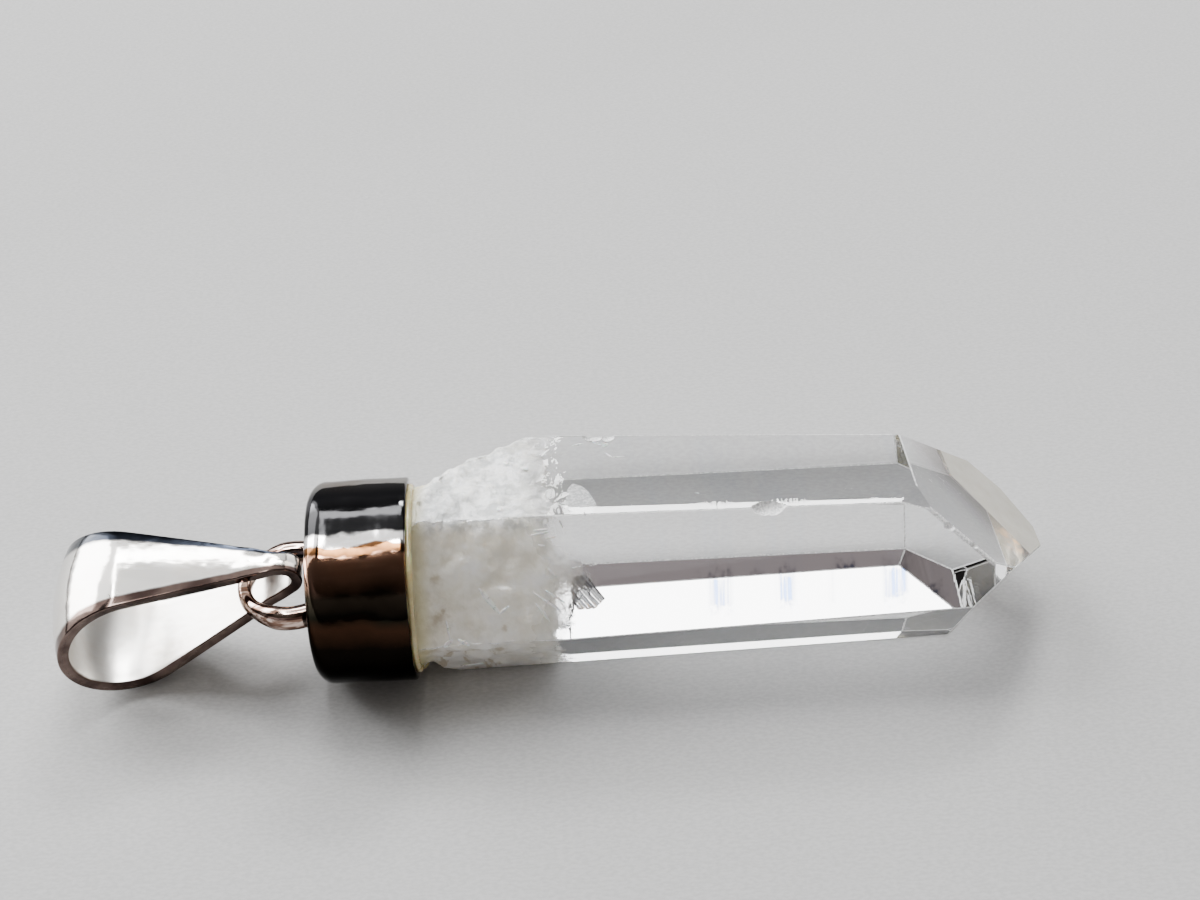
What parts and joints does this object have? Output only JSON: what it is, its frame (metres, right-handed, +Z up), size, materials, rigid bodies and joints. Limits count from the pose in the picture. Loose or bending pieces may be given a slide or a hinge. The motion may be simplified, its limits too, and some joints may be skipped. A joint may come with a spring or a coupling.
{
  "type": "quartz crystal pendant",
  "caption": "Natural quartz point glued into a plain silver cup, with a soldered ring and a folded swinging bail for a chain.",
  "frame": {"origin": "on the surface that the pendant lies on, under the middle of its bounding box", "axes": "+X along the stone to its point, +Y away from the viewer of the picture, +Z up"},
  "size_m": [0.041, 0.0112, 0.0082],
  "materials": {
    "quartz": "clear at the point, milky and rough toward the cup",
    "glue": "set clear-yellow resin",
    "silver_cap": "polished silver, slightly dented and tarnished brown",
    "silver_bail": "polished silver"
  },
  "bodies": {
    "drop": {"crystal": "quartz", "adhesive": "glue", "cap": "silver_cap"},
    "bail": {"bail": "silver_bail"}
  },
  "joints": [
    {"name": "bail_swing", "type": "hinge", "parent": "drop", "child": "bail", "pos_m": [-0.01236, -0.00118, 0.0041], "axis": [0, 0.9863, 0.165], "range_deg": [-76, 97]}
  ]
}
